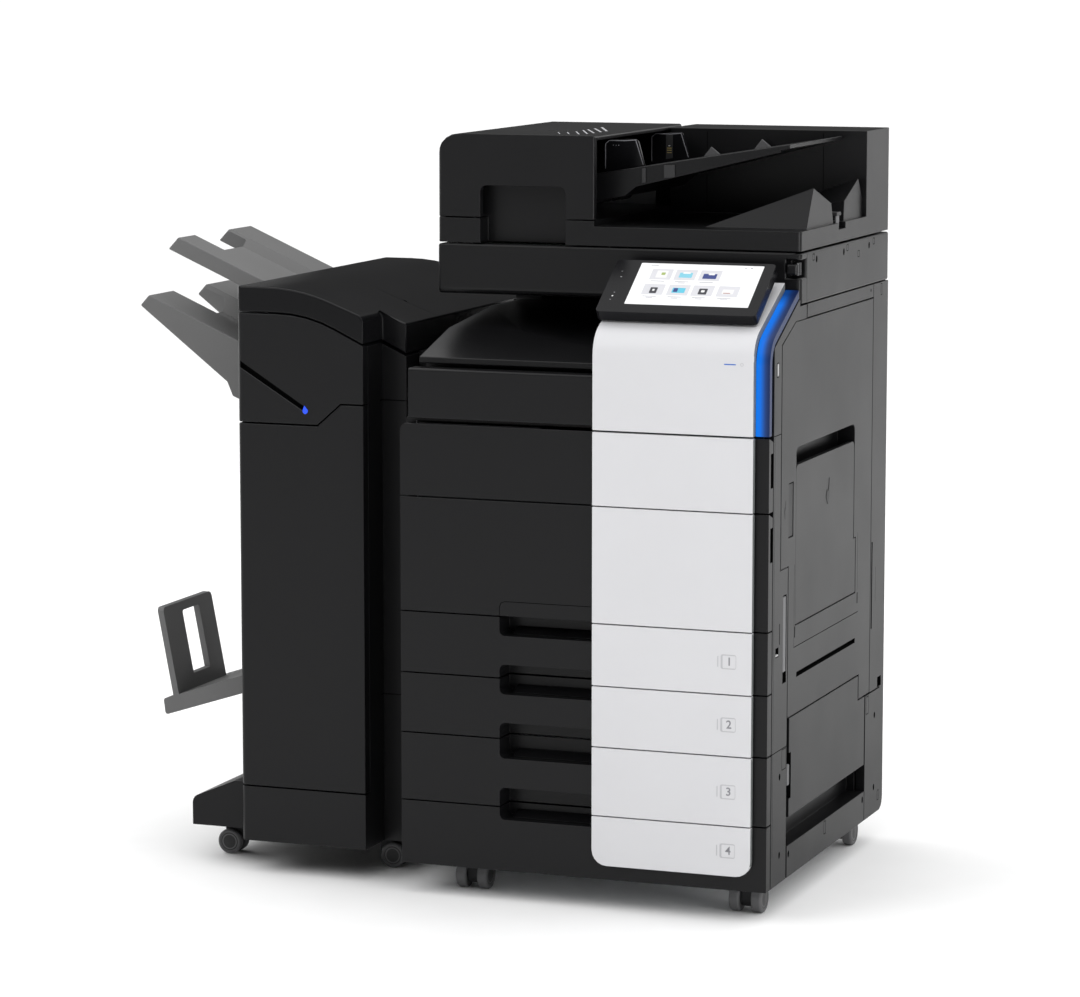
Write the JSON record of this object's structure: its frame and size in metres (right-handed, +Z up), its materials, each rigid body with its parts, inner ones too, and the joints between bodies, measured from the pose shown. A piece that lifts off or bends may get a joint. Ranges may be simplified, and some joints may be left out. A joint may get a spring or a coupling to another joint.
{
  "type": "multifunction photocopier",
  "caption": "Office photocopier on a drawer cabinet, with document feeder, tilting touch panel and a floor-standing finisher with output trays.",
  "frame": {"origin": "middle of the whole machine's footprint, on the floor", "axes": "+Z up; -Y is the operator's side, where the panel and drawers face; +X is the operator's right; the finisher stands on the -X side"},
  "size_m": [1.1682, 0.677, 1.2165],
  "materials": {
    "charcoal_plastic": "satin",
    "white_plastic": "satin",
    "grey_plastic": "matte",
    "black_gloss": "gloss",
    "status_light": "satin",
    "sheet_steel": "satin",
    "screen_glass": "gloss",
    "platen_glass": "gloss",
    "wheel_rubber": "matte",
    "toner_black": "matte"
  },
  "bodies": {
    "machine": {"cabinet_frame": "sheet_steel", "engine_frame": "sheet_steel", "rear_cover": "charcoal_plastic", "upper_front_cover": "white_plastic", "status_light_strip": "status_light", "right_front_pillar": "charcoal_plastic", "exit_front_cover": "charcoal_plastic", "relay_unit": "charcoal_plastic", "drum_unit": "toner_black", "fuser_unit": "grey_plastic", "scanner_housing": "charcoal_plastic", "platen_glass": "platen_glass", "finisher_frame": "charcoal_plastic", "finisher_front_cover": "charcoal_plastic", "finisher_tray_upper": "grey_plastic", "booklet_tray": "grey_plastic"},
    "toner_bottle": {"toner_bottle": "toner_black"},
    "toner_door": {"toner_door": "charcoal_plastic", "toner_door_facing": "white_plastic"},
    "front_door": {"front_door": "charcoal_plastic", "front_door_facing": "white_plastic"},
    "drawer_1": {"drawer_1_front": "charcoal_plastic", "drawer_1_facing": "white_plastic", "paper_tray_1": "grey_plastic"},
    "drawer_2": {"drawer_2_front": "charcoal_plastic", "drawer_2_facing": "white_plastic", "paper_tray_2": "grey_plastic"},
    "drawer_3": {"drawer_3_front": "charcoal_plastic", "drawer_3_facing": "white_plastic", "paper_tray_3": "grey_plastic"},
    "drawer_4": {"drawer_4_front": "charcoal_plastic", "drawer_4_facing": "white_plastic", "paper_tray_4": "grey_plastic"},
    "right_upper_door": {"right_upper_door": "charcoal_plastic"},
    "bypass_tray": {"bypass_tray": "charcoal_plastic"},
    "right_lower_door": {"right_lower_door": "charcoal_plastic"},
    "document_feeder": {"document_feeder": "charcoal_plastic"},
    "feed_cover": {"feed_cover": "charcoal_plastic"},
    "input_tray": {"input_tray": "charcoal_plastic"},
    "paper_guide_front": {"paper_guide_front": "black_gloss"},
    "paper_guide_rear": {"paper_guide_rear": "black_gloss"},
    "finisher_front_door": {"finisher_front_door": "charcoal_plastic"},
    "finisher_top_cover": {"finisher_top_cover": "charcoal_plastic"},
    "finisher_tray_lower": {"finisher_tray_lower": "grey_plastic"},
    "operation_panel": {"operation_panel": "black_gloss", "touch_screen": "screen_glass"},
    "caster_front_left": {"caster_front_left_fork": "grey_plastic"},
    "caster_front_left_wheels": {"caster_front_left_wheels": "wheel_rubber"},
    "caster_front_right": {"caster_front_right_fork": "grey_plastic"},
    "caster_front_right_wheels": {"caster_front_right_wheels": "wheel_rubber"},
    "caster_rear_left": {"caster_rear_left_fork": "grey_plastic"},
    "caster_rear_left_wheels": {"caster_rear_left_wheels": "wheel_rubber"},
    "caster_rear_right": {"caster_rear_right_fork": "grey_plastic"},
    "caster_rear_right_wheels": {"caster_rear_right_wheels": "wheel_rubber"},
    "finisher_caster_left": {"finisher_caster_left_fork": "grey_plastic"},
    "finisher_caster_left_wheels": {"finisher_caster_left_wheels": "wheel_rubber"},
    "finisher_caster_right": {"finisher_caster_right_fork": "grey_plastic"},
    "finisher_caster_right_wheels": {"finisher_caster_right_wheels": "wheel_rubber"},
    "finisher_wheel_left": {"finisher_wheel_left": "wheel_rubber"},
    "finisher_wheel_right": {"finisher_wheel_right": "wheel_rubber"}
  },
  "joints": [
    {"name": "toner_door_hinge", "type": "hinge", "parent": "machine", "child": "toner_door", "pos_m": [0.2694, -0.3385, 0.6492], "axis": [1, 0, 0], "range_deg": [0, 85]},
    {"name": "front_door_hinge", "type": "hinge", "parent": "machine", "child": "front_door", "pos_m": [0.2694, -0.3385, 0.4632], "axis": [1, 0, 0], "range_deg": [0, 90]},
    {"name": "drawer_1_slide", "type": "slide", "parent": "machine", "child": "drawer_1", "axis": [0, -1, 0], "range_m": [0, 0.42]},
    {"name": "drawer_2_slide", "type": "slide", "parent": "machine", "child": "drawer_2", "axis": [0, -1, 0], "range_m": [0, 0.42]},
    {"name": "drawer_3_slide", "type": "slide", "parent": "machine", "child": "drawer_3", "axis": [0, -1, 0], "range_m": [0, 0.42]},
    {"name": "drawer_4_slide", "type": "slide", "parent": "machine", "child": "drawer_4", "axis": [0, -1, 0], "range_m": [0, 0.42]},
    {"name": "right_upper_door_hinge", "type": "hinge", "parent": "machine", "child": "right_upper_door", "pos_m": [0.5841, 0.248, 0.6], "axis": [0, 0, 1], "range_deg": [0, 75]},
    {"name": "bypass_tray_hinge", "type": "hinge", "parent": "right_upper_door", "child": "bypass_tray", "pos_m": [0.5841, -0.0085, 0.4525], "axis": [0, 1, 0], "range_deg": [0, 65]},
    {"name": "right_lower_door_hinge", "type": "hinge", "parent": "machine", "child": "right_lower_door", "pos_m": [0.5841, 0.2215, 0.21], "axis": [0, 0, 1], "range_deg": [0, 80]},
    {"name": "operation_panel_hinge", "type": "hinge", "parent": "machine", "child": "operation_panel", "pos_m": [0.4239, -0.2985, 0.942], "axis": [1, 0, 0], "range_deg": [0, 30]},
    {"name": "document_feeder_hinge", "type": "hinge", "parent": "machine", "child": "document_feeder", "pos_m": [0.2694, 0.338, 1.0415], "axis": [-1, 0, 0], "range_deg": [0, 60]},
    {"name": "feed_cover_hinge", "type": "hinge", "parent": "document_feeder", "child": "feed_cover", "pos_m": [-0.0286, 0.0515, 1.083], "axis": [0, -1, 0], "range_deg": [0, 75]},
    {"name": "input_tray_hinge", "type": "hinge", "parent": "document_feeder", "child": "input_tray", "pos_m": [0.2144, 0.0415, 1.13], "axis": [0, -1, 0], "range_deg": [0, 5]},
    {"name": "paper_guide_front_slide", "type": "slide", "parent": "input_tray", "child": "paper_guide_front", "axis": [0, 1, 0], "range_m": [0, 0.09]},
    {"name": "paper_guide_rear_slide", "type": "slide", "parent": "input_tray", "child": "paper_guide_rear", "axis": [0, 1, 0], "range_m": [-0.09, 0]},
    {"name": "finisher_front_door_hinge", "type": "hinge", "parent": "machine", "child": "finisher_front_door", "pos_m": [-0.3326, -0.2885, 0.45], "axis": [0, 0, -1], "range_deg": [0, 100]},
    {"name": "finisher_top_cover_hinge", "type": "hinge", "parent": "machine", "child": "finisher_top_cover", "pos_m": [-0.3326, 0.3365, 0.8605], "axis": [-1, 0, 0], "range_deg": [0, 45]},
    {"name": "finisher_tray_lower_lift", "type": "slide", "parent": "machine", "child": "finisher_tray_lower", "axis": [0, 0, 1], "range_m": [-0.28, 0]},
    {"name": "toner_bottle_turn", "type": "hinge", "parent": "machine", "child": "toner_bottle", "pos_m": [0.2694, -0.0735, 0.708], "axis": [0, 1, 0], "continuous": true},
    {"name": "caster_front_left_swivel", "type": "hinge", "parent": "machine", "child": "caster_front_left", "pos_m": [0.068, -0.2375, 0.05], "axis": [0, 0, 1], "continuous": true},
    {"name": "caster_front_right_swivel", "type": "hinge", "parent": "machine", "child": "caster_front_right", "pos_m": [0.5324, -0.2375, 0.05], "axis": [0, 0, 1], "continuous": true},
    {"name": "caster_rear_left_swivel", "type": "hinge", "parent": "machine", "child": "caster_rear_left", "pos_m": [0.068, 0.2415, 0.05], "axis": [0, 0, 1], "continuous": true},
    {"name": "caster_rear_right_swivel", "type": "hinge", "parent": "machine", "child": "caster_rear_right", "pos_m": [0.5324, 0.2415, 0.05], "axis": [0, 0, 1], "continuous": true},
    {"name": "finisher_caster_left_swivel", "type": "hinge", "parent": "machine", "child": "finisher_caster_left", "pos_m": [-0.3916, -0.1575, 0.05], "axis": [0, 0, 1], "continuous": true},
    {"name": "finisher_caster_right_swivel", "type": "hinge", "parent": "machine", "child": "finisher_caster_right", "pos_m": [-0.1266, -0.1575, 0.05], "axis": [0, 0, 1], "continuous": true},
    {"name": "caster_front_left_roll", "type": "hinge", "parent": "caster_front_left", "child": "caster_front_left_wheels", "pos_m": [0.068, -0.2535, 0.02305], "axis": [1, 0, 0], "continuous": true},
    {"name": "caster_front_right_roll", "type": "hinge", "parent": "caster_front_right", "child": "caster_front_right_wheels", "pos_m": [0.5324, -0.2535, 0.02305], "axis": [1, 0, 0], "continuous": true},
    {"name": "caster_rear_left_roll", "type": "hinge", "parent": "caster_rear_left", "child": "caster_rear_left_wheels", "pos_m": [0.068, 0.2575, 0.02305], "axis": [1, 0, 0], "continuous": true},
    {"name": "caster_rear_right_roll", "type": "hinge", "parent": "caster_rear_right", "child": "caster_rear_right_wheels", "pos_m": [0.5324, 0.2575, 0.02305], "axis": [1, 0, 0], "continuous": true},
    {"name": "finisher_caster_left_roll", "type": "hinge", "parent": "finisher_caster_left", "child": "finisher_caster_left_wheels", "pos_m": [-0.4076, -0.1575, 0.02128], "axis": [0, 1, 0], "continuous": true},
    {"name": "finisher_caster_right_roll", "type": "hinge", "parent": "finisher_caster_right", "child": "finisher_caster_right_wheels", "pos_m": [-0.1106, -0.1575, 0.02128], "axis": [0, 1, 0], "continuous": true},
    {"name": "finisher_wheel_left_roll", "type": "hinge", "parent": "machine", "child": "finisher_wheel_left", "pos_m": [-0.4076, 0.2515, 0.02128], "axis": [1, 0, 0], "continuous": true},
    {"name": "finisher_wheel_right_roll", "type": "hinge", "parent": "machine", "child": "finisher_wheel_right", "pos_m": [-0.1106, 0.2515, 0.02128], "axis": [1, 0, 0], "continuous": true}
  ],
  "couplings": [
    {"joint": "paper_guide_rear_slide", "follows": "paper_guide_front_slide", "ratio": -1}
  ]
}
